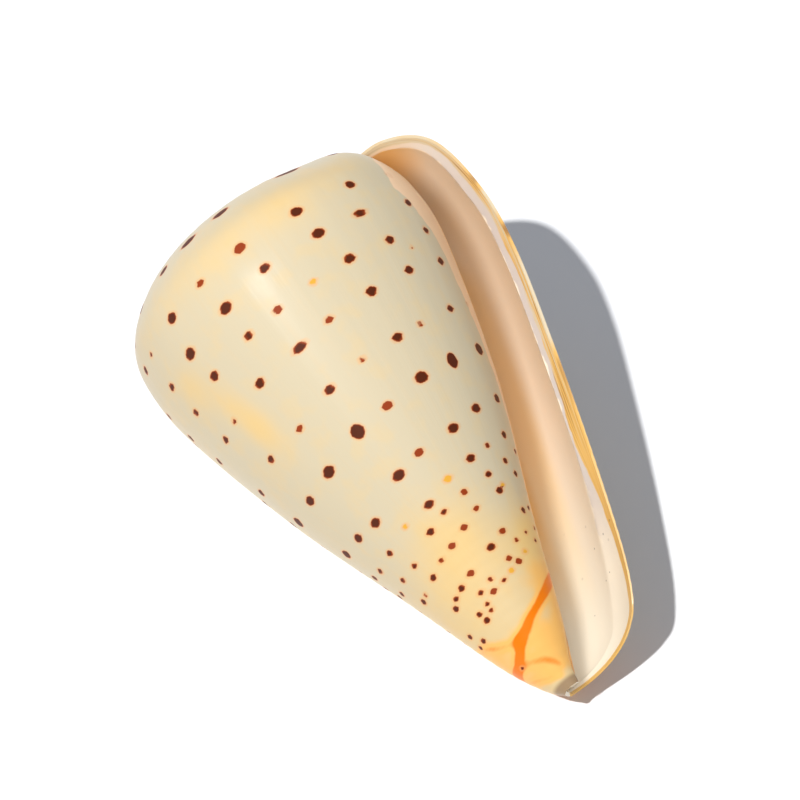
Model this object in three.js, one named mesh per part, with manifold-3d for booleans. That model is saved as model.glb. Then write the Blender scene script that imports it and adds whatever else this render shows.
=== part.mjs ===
// A cone shell, lying on its back with the long opening facing up and to one side.
//
// The shell is one solid. It grew as a sheet that winds around an axis, so every part of it comes
// from one outline, drawn in a half plane through the axis, that turns and widens as it goes.
// Two outlines are given: the body outline, one turn before the lip, and the lip outline itself.
// Between the two turns of the last whorl lies the opening, which runs inwards as a narrow hollow.
//
// The shell is made with its axis along +Z and its pointed spire at the origin, then it is turned
// to the way it rests. Millimetres and degrees throughout.

import * as THREE from 'three';
import { mergeVertices } from 'three/addons/utils/BufferGeometryUtils.js';
import Module from 'manifold-3d';

// Driving dimensions. An outline point is [distance from the spire's point along the axis, radius].
const BODY_OUTLINE = [
  [4.6, 8.0], [5.0, 12.0], [7.0, 18.8], [12.0, 24.4], [17.0, 26.0], [26.5, 25.1],
  [50.0, 18.8], [72.0, 10.5], [88.0, 4.9], [95.3, 1.7], [98.4, 1.0],
];
const LIP_OUTLINE = [
  [6.0, 10.7], [6.0, 17.0], [6.0, 26.2], [11.2, 33.0], [23.0, 34.8], [35.3, 33.3],
  [52.0, 29.0], [72.6, 23.0], [89.4, 17.2], [96.8, 12.1], [99.8, 4.6],
];
const LAST_TURN = 365;        // degrees of growth from the body outline to the lip outline
const STEADY_FLARE = 0.16;    // share of the widening that comes evenly, the rest comes late
const LATE_FLARE = 2.6;       // power by which the rest of the widening gathers near the lip
const LIP_ANGLE = 3;          // where the lip stands around the axis
const TURN_GROWTH = 1.34;     // each turn of the spire is this much larger than the one before
const SPIRE_TURNS = 3;        // turns of the spire modelled before the last one
const HOLLOW_DEPTH = 240;     // degrees that the hollow runs inwards from the lip
const WALL = 2.4;             // thickness of the wall behind the lip
const THIN_END = 0.45;        // share of that thickness left at the narrow end
const LIP_EDGE = 0.7;         // thickness of the lip at its sharp edge
const LIP_BEVEL = 6;          // degrees over which the wall thins to that edge
const NOTCH_LAG = 12;         // degrees that the lip falls back where it meets the spire
const NOTCH_SHARE = 0.2;      // share of the outline over which it does
const CANAL_LAG = 118;        // degrees that the lip falls back around the narrow end
const CANAL_SHARE = 0.16;     // share of the outline over which it does
const COLUMELLA_FOOT = 5.6;   // radius of the central pillar where it leaves the inner turns
const COLUMELLA_TIP = 1.0;    // radius of the central pillar at the narrow end
const COLUMELLA_SPAN = [66, 98.5];
const SLICE = 9;              // degrees between two outlines of the wound surface
const OUTLINE_STEPS = 16;     // straight steps that stand for an outline's first four fifths
const END_STEPS = 8;          // finer steps that stand for the rest, around the narrow end
const REST_ROLL = 62;         // angle around the axis that points upwards when the shell rests
const REST_DIP = 14.8;        // degrees that the narrow end dips below the level
const REST_FLAT = 0.4;        // depth worn off where it touches the ground

const RAD = Math.PI / 180;
const wasm = await Module();
wasm.setup();

function smoothCurve(points) {
  const corners = points.map(([along, radius]) => new THREE.Vector3(along, radius, 0));
  return new THREE.CatmullRomCurve3(corners, false, 'catmullrom', 0.5);
}

const bodyCurve = smoothCurve(BODY_OUTLINE);
const lipCurve = smoothCurve(LIP_OUTLINE);

// How far the outline has changed from the body's (0) to the lip's (1) at an angle before the lip.
function flare(angle) {
  const grown = Math.max(0, (angle + LAST_TURN) / LAST_TURN);
  return STEADY_FLARE * grown + (1 - STEADY_FLARE) * grown ** LATE_FLARE;
}

// The outline's point at an angle of growth (0 at the lip, negative before it) and a share of the
// way from the seam with the turn before (0) to the narrow end (1), set inwards by a thickness.
function outlinePoint(angle, share, inset = 0) {
  const mix = flare(angle);
  const size = TURN_GROWTH ** Math.min(0, (angle + LAST_TURN) / 360);
  const at = (t) => bodyCurve.getPoint(t).lerp(lipCurve.getPoint(t), mix).multiplyScalar(size);
  const point = at(share);
  const along = at(Math.min(1, share + 0.005)).sub(at(Math.max(0, share - 0.005))).normalize();
  const depth = Math.min(inset, 0.6 * point.y);
  return new THREE.Vector3(point.x + along.y * depth, point.y - along.x * depth, angle);
}

// A place given as distance along the axis, radius and angle, as x, y and z.
function aroundAxis({ x: along, y: radius, z: angle }) {
  const phi = (angle + LIP_ANGLE) * RAD;
  return [radius * Math.cos(phi), radius * Math.sin(phi), along];
}

// The lip isn't straight: it falls back at the spire and wraps around the narrow end.
function lag(share) {
  const notch = Math.max(0, 1 - share / NOTCH_SHARE) ** 2;
  const canal = Math.max(0, 1 - (1 - share) / CANAL_SHARE) ** 2;
  return -NOTCH_LAG * notch - CANAL_LAG * canal;
}

function wallThickness(angle, share) {
  const behindLip = THREE.MathUtils.clamp(-angle / LIP_BEVEL, 0, 1);
  const narrowEnd = 1 - (1 - THIN_END) * THREE.MathUtils.smoothstep(share, 0.7, 1);
  return (LIP_EDGE + (WALL - LIP_EDGE) * behindLip) * narrowEnd;
}

function steps(from, to, count) {
  return Array.from({ length: count + 1 }, (_, i) => from + ((to - from) * i) / count);
}

const shares = [...steps(0, 0.8, OUTLINE_STEPS), ...steps(0.8, 1, END_STEPS).slice(1)];

// Joins rings of equally many places into a closed body. Each end is filled as the flat shape
// that the ring has in its half plane.
function closedBody(rings) {
  const size = rings[0].length;
  const index = [];
  rings.slice(1).forEach((_, row) => {
    for (let i = 0; i < size; i += 1) {
      const a = row * size + i;
      const b = row * size + ((i + 1) % size);
      index.push(a, a + size, b, b, a + size, b + size);
    }
  });
  const last = (rings.length - 1) * size;
  const flat = (ring) => ring.map(({ x, y }) => new THREE.Vector2(x, y));
  const fill = (ring) => THREE.ShapeUtils.triangulateShape(flat(ring), []);
  fill(rings[0]).forEach(([a, b, c]) => index.push(a, c, b));
  fill(rings.at(-1)).forEach(([a, b, c]) => index.push(last + a, last + b, last + c));
  const geometry = new THREE.BufferGeometry();
  geometry.setAttribute('position', new THREE.Float32BufferAttribute(rings.flat().flatMap(aroundAxis), 3));
  geometry.setIndex(index);
  return geometry;
}

function toSolid(geometry) {
  const bare = geometry.clone();
  bare.deleteAttribute('normal');
  bare.deleteAttribute('uv');
  const merged = mergeVertices(bare, 1e-4);
  const triVerts = [];
  for (let i = 0; i < merged.index.count; i += 3) {
    const corner = [0, 1, 2].map((k) => merged.index.getX(i + k));
    if (new Set(corner).size === 3) triVerts.push(...corner);
  }
  const mesh = new wasm.Mesh({
    numProp: 3,
    vertProperties: new Float32Array(merged.attributes.position.array),
    triVerts: new Uint32Array(triVerts),
  });
  return new wasm.Manifold(mesh);
}

function toGeometry(solid) {
  const mesh = solid.getMesh();
  const geometry = new THREE.BufferGeometry();
  geometry.setAttribute('position', new THREE.Float32BufferAttribute(mesh.vertProperties, 3));
  geometry.setIndex(Array.from(mesh.triVerts));
  return geometry;
}

// Part of the winding filled in to the axis, between two angles less than half a turn apart.
function filledWinding(from, to, inset = 0) {
  const rings = steps(from, to, Math.round((to - from) / SLICE)).map((angle) => {
    const edge = shares.map((share) => outlinePoint(angle, share, inset));
    const ends = [new THREE.Vector3(edge.at(-1).x, 0, angle), new THREE.Vector3(edge[0].x, 0, angle)];
    return [...edge, ...ends];
  });
  return toSolid(closedBody(rings));
}

// The last whorl's wall: a curved sheet with a true thickness, from the body outline to the lip.
function whorlWall() {
  const angles = [...steps(-LAST_TURN, -LIP_BEVEL, Math.round(LAST_TURN / SLICE)), -LIP_BEVEL / 2, 0];
  const rings = angles.map((angle) => {
    const turned = (share) => angle + lag(share) * (1 + angle / LAST_TURN);
    const outside = shares.map((share) => outlinePoint(turned(share), share));
    const inside = shares.map((share) => outlinePoint(turned(share), share, wallThickness(angle, share)));
    return [...outside, ...inside.reverse()];
  });
  return toSolid(closedBody(rings));
}

// The pillar around which the shell winds, down to the narrow end.
function columella() {
  const [start, end] = COLUMELLA_SPAN;
  const profile = [
    [0, start], [COLUMELLA_FOOT, start], [COLUMELLA_TIP, end - COLUMELLA_TIP],
    [0.7 * COLUMELLA_TIP, end - 0.3 * COLUMELLA_TIP], [0, end],
  ];
  const lathe = new THREE.LatheGeometry(profile.map(([r, z]) => new THREE.Vector2(r, z)), 16);
  return toSolid(lathe.rotateX(Math.PI / 2));
}

// The spire's point, where the turns are too small to model one by one.
function apex() {
  const size = TURN_GROWTH ** -SPIRE_TURNS;
  const [along, radius] = BODY_OUTLINE[1].map((value) => value * size);
  const profile = [[0, 0], [0.4 * radius, 0.3 * along], [radius, along], [radius, 2 * along], [0, 2 * along]];
  const lathe = new THREE.LatheGeometry(profile.map(([r, z]) => new THREE.Vector2(r, z)), 16);
  return toSolid(lathe.rotateX(Math.PI / 2));
}

// The whole shell, joined from its turns, in the frame of its axis.
function joinedShell() {
  const turns = steps(-LAST_TURN - 360 * SPIRE_TURNS, -LAST_TURN, 2 * SPIRE_TURNS);
  const windings = turns.slice(1).map((to, i) => filledWinding(turns[i], to));
  const behindHollow = filledWinding(-LAST_TURN - SLICE, -HOLLOW_DEPTH, WALL / 2);
  const joined = [behindHollow, columella(), apex(), ...windings].reduce((sum, p) => sum.add(p), whorlWall());
  return joined.decompose().sort((a, b) => b.volume() - a.volume())[0];
}

// The shell turned to the way it rests, with the small spot it rests on worn flat.
function restingShell() {
  const turn = new THREE.Euler(0, (90 + REST_DIP) * RAD, (180 - REST_ROLL) * RAD);
  const turned = toGeometry(joinedShell()).applyMatrix4(new THREE.Matrix4().makeRotationFromEuler(turn));
  turned.computeBoundingBox();
  const { min, max } = turned.boundingBox;
  turned.translate(-(min.x + max.x) / 2, -(min.y + max.y) / 2, -min.z - REST_FLAT);
  const below = new THREE.BoxGeometry(4 * max.x, 4 * max.x, 4 * REST_FLAT).translate(0, 0, -2 * REST_FLAT);
  return toGeometry(toSolid(turned).subtract(toSolid(below)));
}

const shellMaterial = new THREE.MeshStandardMaterial({ color: 0xefe0c0, roughness: 0.25, metalness: 0 });
const coneShell = new THREE.Mesh(restingShell(), shellMaterial);
coneShell.name = 'cone_shell';

const model = new THREE.Group();
model.add(coneShell);

export default model;
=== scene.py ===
"""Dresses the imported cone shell: its wound wall, spots, glaze and lip, on a pale floor in soft light.

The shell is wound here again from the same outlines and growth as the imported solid, only finer, so
that its surface can carry the spots. Lengths are in millimetres and angles in degrees until the
finished piece is laid in the frame, which is in metres.
"""

import logging
import math
from dataclasses import dataclass, field
from enum import Enum

import bmesh
import bpy
import numpy as np
from mathutils import Matrix, Vector


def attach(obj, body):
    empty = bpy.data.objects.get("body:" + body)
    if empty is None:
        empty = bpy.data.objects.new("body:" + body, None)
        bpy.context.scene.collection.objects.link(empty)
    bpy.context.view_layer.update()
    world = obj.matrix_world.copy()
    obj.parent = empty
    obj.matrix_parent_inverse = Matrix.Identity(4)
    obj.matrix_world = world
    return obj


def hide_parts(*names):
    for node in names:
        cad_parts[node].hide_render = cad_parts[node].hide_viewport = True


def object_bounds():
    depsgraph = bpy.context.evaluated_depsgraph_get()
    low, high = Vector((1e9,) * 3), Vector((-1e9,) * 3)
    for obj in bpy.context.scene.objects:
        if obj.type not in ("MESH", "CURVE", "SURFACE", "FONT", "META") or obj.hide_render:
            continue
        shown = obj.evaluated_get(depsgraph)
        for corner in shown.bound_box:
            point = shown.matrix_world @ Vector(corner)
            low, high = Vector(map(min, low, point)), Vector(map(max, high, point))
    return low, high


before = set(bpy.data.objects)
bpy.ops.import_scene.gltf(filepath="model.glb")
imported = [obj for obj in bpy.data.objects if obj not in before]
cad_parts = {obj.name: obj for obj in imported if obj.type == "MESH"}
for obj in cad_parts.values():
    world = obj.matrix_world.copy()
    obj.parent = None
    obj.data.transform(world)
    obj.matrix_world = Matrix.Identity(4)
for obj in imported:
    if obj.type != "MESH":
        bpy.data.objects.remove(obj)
CAD_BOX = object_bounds()

MM = 0.001
NODE = "cone_shell"
PIECE = "shell_skin"
PHOTO_PIXELS = 800
# How many places an outline is measured at, and how near two corners are to be one.
OUTLINE_PLACES = 801
SAME_PLACE = 1e-5
# Shares that stand for the rows on the axis, before and after the outline's own.
AXIS_BEFORE = -1.0
AXIS_AFTER = 2.0

Colour = tuple[float, float, float]
Direction = tuple[float, float, float]
Span = tuple[float, float]

log = logging.getLogger("cone_shell")


class Side(Enum):
    """Which surface of the shell a face belongs to, as its material's place in the piece."""

    SKIN = 0
    LINING = 1


class Tone(Enum):
    """How dark a spot is, from 0 for dark brown to 1 for amber."""

    BROWN = 0.0
    RUST = 0.5
    AMBER = 1.0


def smoothstep(value: np.ndarray, low: float, high: float) -> np.ndarray:
    """Rises smoothly from 0 to 1.

    Args:
        value: The numbers to look at.
        low: Where the rise starts.
        high: Where it ends.

    Returns:
        A number from 0 to 1 for each value.
    """
    ratio = np.clip((value - low) / (high - low), 0.0, 1.0)
    return ratio * ratio * (3.0 - 2.0 * ratio)


def plateau(value: np.ndarray, rise: Span, fall: Span) -> np.ndarray:
    """Rises smoothly from 0 to 1, then falls to 0 again.

    Args:
        value: The numbers to look at.
        rise: Where the rise starts and ends.
        fall: Where the fall starts and ends.

    Returns:
        A number from 0 to 1 for each value.
    """
    return smoothstep(value, *rise) * smoothstep(value, fall[1], fall[0])


@dataclass(frozen=True)
class Outline:
    """A smooth outline in a half plane through the shell's axis.

    Attributes:
        points: Corners as (distance from the spire's point along the axis, radius).
    """

    points: tuple[tuple[float, float], ...]

    def at(self, share: np.ndarray) -> np.ndarray:
        """Finds places on the curve through the points.

        Args:
            share: How far along the outline, from 0 at its start to 1 at its end.

        Returns:
            The distance along the axis and the radius, in the last direction of the array.
        """
        corners = np.array(self.points)
        spans = len(corners) - 1
        scaled = np.clip(share, 0.0, 1.0) * spans
        first = np.minimum(scaled.astype(int), spans - 1)
        part = (scaled - first)[..., None]
        before = 2 * corners[0] - corners[1]
        after = 2 * corners[-1] - corners[-2]
        padded = np.vstack([before, corners, after])
        p0, p1, p2, p3 = (padded[first + step] for step in range(4))
        straight = -p0 + p2
        bend = 2 * p0 - 5 * p1 + 4 * p2 - p3
        twist = -p0 + 3 * p1 - 3 * p2 + p3
        return 0.5 * (2 * p1 + straight * part + bend * part**2 + twist * part**3)

    def lengths(self, share: np.ndarray) -> np.ndarray:
        """Measures how far along the outline each share is.

        Args:
            share: Shares of the outline, from 0 to 1.

        Returns:
            The distance from the outline's start to each share.
        """
        fine = np.linspace(0.0, 1.0, OUTLINE_PLACES)
        steps = np.linalg.norm(np.diff(self.at(fine), axis=0), axis=1)
        return np.interp(share, fine, np.concatenate([[0.0], np.cumsum(steps)]))


@dataclass(frozen=True)
class Winding:
    """The surface that the shell's outline sweeps as it turns and widens around the axis.

    Attributes:
        body: The outline one turn before the lip.
        lip: The outline at the lip.
        last_turn: Growth from the one to the other.
        steady_flare: Share of the widening that comes evenly.
        late_flare: Power by which the rest gathers near the lip.
        lip_angle: Where the lip stands around the axis.
        turn_growth: How much larger each turn of the spire is than the one before.
        share_step: Step in share over which the outline's direction is taken.
        deepest: Share of the radius that no inset passes.
        finer: Shares between which the rows get finer.
    """

    body: Outline = Outline(
        (
            (4.6, 8.0), (5.0, 12.0), (7.0, 18.8), (12.0, 24.4), (17.0, 26.0), (26.5, 25.1),
            (50.0, 18.8), (72.0, 10.5), (88.0, 4.9), (95.3, 1.7), (98.4, 1.0),
        )
    )
    lip: Outline = Outline(
        (
            (6.0, 10.7), (6.0, 17.0), (6.0, 26.2), (11.2, 33.0), (23.0, 34.8), (35.3, 33.3),
            (52.0, 29.0), (72.6, 23.0), (89.4, 17.2), (96.8, 12.1), (99.8, 4.6),
        )
    )
    last_turn: float = 365.0
    steady_flare: float = 0.16
    late_flare: float = 2.6
    lip_angle: float = 3.0
    turn_growth: float = 1.34
    share_step: float = 0.005
    deepest: float = 0.6
    finer: Span = (0.5, 0.75)

    def size(self, turn: np.ndarray) -> np.ndarray:
        """Gives how large a turn of the spire is beside the last whorl."""
        return self.turn_growth ** (np.minimum(0.0, turn + self.last_turn) / 360.0)

    def section(self, turn: np.ndarray, share: np.ndarray, inset: np.ndarray) -> np.ndarray:
        """Finds points of the outline as it stands after some growth.

        Args:
            turn: Degrees of growth, 0 at the lip and negative before it.
            share: How far along the outline, from the seam (0) to the narrow end (1).
            inset: How far inside the outline the point lies.

        Returns:
            The distance along the axis and the radius, in the last direction of the array.
        """
        grown = np.maximum(0.0, (turn + self.last_turn) / self.last_turn)
        mix = (self.steady_flare * grown + (1 - self.steady_flare) * grown**self.late_flare)[..., None]
        size = self.size(turn)[..., None]

        def outline(at: np.ndarray) -> np.ndarray:
            """Mixes and scales the two outlines at some shares."""
            return (self.body.at(at) * (1 - mix) + self.lip.at(at) * mix) * size

        point = outline(share)
        ahead = outline(np.minimum(1.0, share + self.share_step))
        along = ahead - outline(np.maximum(0.0, share - self.share_step))
        along /= np.linalg.norm(along, axis=-1, keepdims=True)
        depth = np.minimum(inset, self.deepest * point[..., 1])
        return np.stack([point[..., 0] + along[..., 1] * depth, point[..., 1] - along[..., 0] * depth], -1)

    def place(self, turn: np.ndarray, share: np.ndarray, inset: np.ndarray | float = 0.0) -> np.ndarray:
        """Finds points of the wound surface, with the axis along z and the spire's point at 0.

        Args:
            turn: Degrees of growth, 0 at the lip and negative before it.
            share: How far along the outline.
            inset: How far inside the surface the point lies.

        Returns:
            x, y and z in the last direction of the array.
        """
        turn, share, inset = np.broadcast_arrays(turn, share, inset)
        section = self.section(turn, share, inset)
        along, radius = section[..., 0], section[..., 1]
        angle = np.radians(turn + self.lip_angle)
        return np.stack([radius * np.cos(angle), radius * np.sin(angle), along], -1)

    def even_shares(self, spacing: float, end_spacing: float) -> np.ndarray:
        """Divides the outline into steps that get finer towards the narrow end.

        Args:
            spacing: Step near the shoulder, in mm.
            end_spacing: Step at the narrow end, in mm.

        Returns:
            Shares from 0 to 1.
        """
        fine = np.linspace(0.0, 1.0, OUTLINE_PLACES)
        step = spacing + (end_spacing - spacing) * smoothstep(fine, *self.finer)
        lengths = 0.5 * (self.body.lengths(fine) + self.lip.lengths(fine))
        counts = np.concatenate([[0.0], np.cumsum(np.diff(lengths) / step[1:])])
        return np.interp(np.linspace(0.0, counts[-1], round(counts[-1]) + 1), counts, fine)


def grown_sheet(turns: np.ndarray, shares: np.ndarray) -> tuple[bmesh.types.BMesh, np.ndarray, np.ndarray]:
    """Makes a grid of faces to be wound, with each corner's growth and share.

    Args:
        turns: The growth of each column.
        shares: The share of each row.

    Returns:
        The mesh, and the growth and the share of each of its vertices.
    """
    mesh = bmesh.new()
    columns, rows = len(turns) - 1, len(shares) - 1
    bmesh.ops.create_grid(mesh, x_segments=columns, y_segments=rows, size=1.0)
    places = np.array([vertex.co[:2] for vertex in mesh.verts])
    column = np.rint((places[:, 0] + 1) / 2 * columns).astype(int)
    row = np.rint((places[:, 1] + 1) / 2 * rows).astype(int)
    return mesh, turns[column], shares[row]


def grid_order(vertices: list[bmesh.types.BMVert]) -> np.ndarray:
    """Puts the vertices of a flat grid in order, column by column.

    Args:
        vertices: The grid's vertices, not yet moved.

    Returns:
        The number of each vertex in turn.
    """
    places = np.array([vertex.co[:2] for vertex in vertices]).round(6)
    return np.lexsort((places[:, 1], places[:, 0]))


def move_vertices(vertices: list[bmesh.types.BMVert], places: np.ndarray) -> None:
    """Puts each vertex at its place.

    Args:
        vertices: The vertices.
        places: One row of x, y and z for each.
    """
    for vertex, place in zip(vertices, places):
        vertex.co = place


def write_growth(mesh: bmesh.types.BMesh, turn: dict, share: dict) -> None:
    """Keeps each corner's growth and share on the mesh, as its pattern coordinates.

    Args:
        mesh: The wound mesh.
        turn: The growth of each vertex.
        share: The share of each vertex.
    """
    layer = mesh.loops.layers.uv.new("growth")
    for face in mesh.faces:
        for loop in face.loops:
            loop[layer].uv = (turn[loop.vert.index] / 360.0, share[loop.vert.index])


def finish_mesh(mesh: bmesh.types.BMesh, name: str) -> bpy.types.Object:
    """Turns a worked mesh into an object of the scene.

    Args:
        mesh: The worked mesh, which is freed.
        name: The object's name.

    Returns:
        The object.
    """
    bmesh.ops.recalc_face_normals(mesh, faces=mesh.faces[:])
    if mesh.calc_volume(signed=True) < 0.0:
        bmesh.ops.reverse_faces(mesh, faces=mesh.faces[:])
    data = bpy.data.meshes.new(name)
    mesh.to_mesh(data)
    mesh.free()
    made = bpy.data.objects.new(name, data)
    bpy.context.scene.collection.objects.link(made)
    return made


@dataclass(frozen=True)
class LastWhorl:
    """The last whorl's wall, a wound sheet with a true thickness that ends in the lip.

    Attributes:
        winding: The wound surface.
        wall: Thickness behind the lip.
        thin_start: Share of it at the seam with the turn before.
        start_thins: Shares between which it grows to the full thickness.
        thin_end: Share of it at the narrow end.
        end_thins: Shares between which it falls to that.
        lip_edge: Thickness at the lip's edge.
        edge_loss: Share of that lost at the narrow end.
        edge_thins: Shares between which it is lost.
        lip_bevel: Degrees over which the wall thins to the lip's edge.
        top_bevel: The same near the seam.
        top_ends: Shares between which the one gives way to the other.
        narrow_bevel: The same at the narrow end.
        narrow_starts: Shares between which that takes over.
        finest_from: Degrees before the lip where the finest columns start.
        lip_columns: How many of those there are.
        ridge_height: Height of the spiral ridges near the narrow end.
        ridge_gap: Distance from one to the next.
        ridge_rise: Shares between which they rise.
        ridge_fall: Shares between which they fade.
        uneven: Depth of the growth waves elsewhere.
        wave_rates: How fast each wave goes, per degree of growth and per whole outline.
        wave_rise: Shares between which the waves rise.
        wave_fall: Shares between which they fade.
        swell: How far the body swells under the lip.
        swell_turn: Degrees before the lip at the swelling's middle.
        swell_reach: How far it reaches around the shell, in degrees.
        swell_share: Share of the outline at its middle.
        swell_span: How far it reaches along the outline, as a share.
        notch_lag: Degrees that the lip falls back at the seam.
        notch_share: Share of the outline over which it does.
        canal_lag: Degrees that it falls back around the narrow end.
        canal_share: Share of the outline over which it does.
        slice_angle: Degrees between two columns.
        row_step: Distance between two rows near the shoulder.
        end_row_step: The same at the narrow end.
    """

    winding: Winding
    wall: float = 2.4
    thin_start: float = 0.5
    start_thins: Span = (0.12, 0.4)
    thin_end: float = 0.3
    end_thins: Span = (0.7, 1.0)
    lip_edge: float = 0.5
    edge_loss: float = 0.4
    edge_thins: Span = (0.62, 0.82)
    lip_bevel: float = 3.4
    top_bevel: float = 2.2
    top_ends: Span = (0.2, 0.4)
    narrow_bevel: float = 26.0
    narrow_starts: Span = (0.66, 0.86)
    finest_from: float = 6.0
    lip_columns: int = 16
    ridge_height: float = 0.05
    ridge_gap: float = 2.0
    ridge_rise: Span = (0.6, 0.7)
    ridge_fall: Span = (0.9, 0.97)
    uneven: float = 0.05
    wave_rates: tuple[Span, Span] = ((0.35, 6.0), (0.83, -9.0))
    wave_rise: Span = (0.02, 0.1)
    wave_fall: Span = (0.5, 0.75)
    swell: float = 1.5
    swell_turn: float = 336.0
    swell_reach: float = 17.0
    swell_share: float = 0.25
    swell_span: float = 0.08
    notch_lag: float = 12.0
    notch_share: float = 0.2
    canal_lag: float = 118.0
    canal_share: float = 0.16
    slice_angle: float = 1.5
    row_step: float = 0.72
    end_row_step: float = 0.5

    def lag(self, share: np.ndarray) -> np.ndarray:
        """Gives how far the lip falls back, in degrees, at each share."""
        notch = np.maximum(0.0, 1 - share / self.notch_share) ** 2
        canal = np.maximum(0.0, 1 - (1 - share) / self.canal_share) ** 2
        return -self.notch_lag * notch - self.canal_lag * canal

    def turned(self, turn: np.ndarray, share: np.ndarray) -> np.ndarray:
        """Gives a column's true growth at each share, which lags behind it as the lip does."""
        return turn + self.lag(share) * np.maximum(0.0, 1 + turn / self.winding.last_turn)

    def bevel(self, share: np.ndarray) -> np.ndarray:
        """Gives how far behind the lip the wall reaches its full thickness, in degrees."""
        wide = self.top_bevel + (self.lip_bevel - self.top_bevel) * smoothstep(share, *self.top_ends)
        return wide + (self.narrow_bevel - wide) * smoothstep(share, *self.narrow_starts)

    def relief(self, turn: np.ndarray, share: np.ndarray) -> np.ndarray:
        """Gives how deep the skin lies in its ridges and waves, less the swelling under the lip.

        Args:
            turn: The growth of each place.
            share: The share of each place.

        Returns:
            The depth of each place below the wound surface.
        """
        length = self.winding.body.lengths(share)
        ridges = 0.5 - 0.5 * np.cos(math.tau * length / self.ridge_gap)
        ridges *= plateau(share, self.ridge_rise, self.ridge_fall)
        waves = 0.5 + 0.25 * sum(np.sin(around * turn + along * share) for around, along in self.wave_rates)
        waves *= plateau(share, self.wave_rise, self.wave_fall)
        around_swell = ((turn + self.swell_turn) / self.swell_reach) ** 2
        along_swell = ((share - self.swell_share) / self.swell_span) ** 2
        swollen = self.swell * np.exp(-around_swell - along_swell)
        return self.ridge_height * ridges + self.uneven * waves - swollen

    def thickness(self, turn: np.ndarray, share: np.ndarray) -> np.ndarray:
        """Gives the wall's thickness, thinner at the lip and at both ends of the outline.

        Args:
            turn: The column of each place, in degrees of growth at the lip's middle.
            share: The share of each place.

        Returns:
            The thickness at each place.
        """
        behind_lip = np.clip(-turn / self.bevel(share), 0.0, 1.0)
        full = self.thin_start + (1 - self.thin_start) * smoothstep(share, *self.start_thins)
        full -= (1 - self.thin_end) * smoothstep(share, *self.end_thins)
        edge = self.lip_edge * (1 - self.edge_loss * smoothstep(share, *self.edge_thins))
        return edge + np.maximum(0.0, self.wall * full - edge) * behind_lip

    def columns(self) -> np.ndarray:
        """Lists the growth of each column, with finer ones close to the lip."""
        last, fine = self.winding.last_turn, self.finest_from
        count = round((last - fine) / self.slice_angle)
        at_lip = np.linspace(-fine, 0.0, self.lip_columns + 1)
        return np.concatenate([np.linspace(-last, -fine, count + 1), at_lip[1:]])

    def build(self) -> bpy.types.Object:
        """Winds the sheet and gives it its thickness.

        Returns:
            The wall as a closed object, its axis along z.
        """
        shares = self.winding.even_shares(self.row_step, self.end_row_step)
        mesh, turn, share = grown_sheet(self.columns(), shares)
        outside = mesh.verts[:]
        sides = bmesh.ops.extrude_face_region(mesh, geom=mesh.faces[:])
        inside = [item for item in sides["geom"] if isinstance(item, bmesh.types.BMVert)]
        order, inner_order = grid_order(outside), grid_order(inside)
        turned = self.turned(turn, share)
        move_vertices(outside, self.winding.place(turned, share, self.relief(turned, share)))
        below = self.winding.place(turned, share, self.thickness(turn, share))
        move_vertices([inside[number] for number in inner_order], below[order])
        mesh.verts.index_update()
        growth = dict(enumerate(turn))
        part = dict(enumerate(share))
        for near, far in zip(order, inner_order):
            growth[inside[far].index] = turn[near]
            part[inside[far].index] = share[near]
        write_growth(mesh, growth, part)
        inner = {vertex.index for vertex in inside}
        for face in mesh.faces:
            lined = any(vertex.index in inner for vertex in face.verts)
            face.material_index = Side.LINING.value if lined else Side.SKIN.value
        log.info("last whorl: %d vertices on each side", len(outside))
        return finish_mesh(mesh, "last_whorl")


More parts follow.
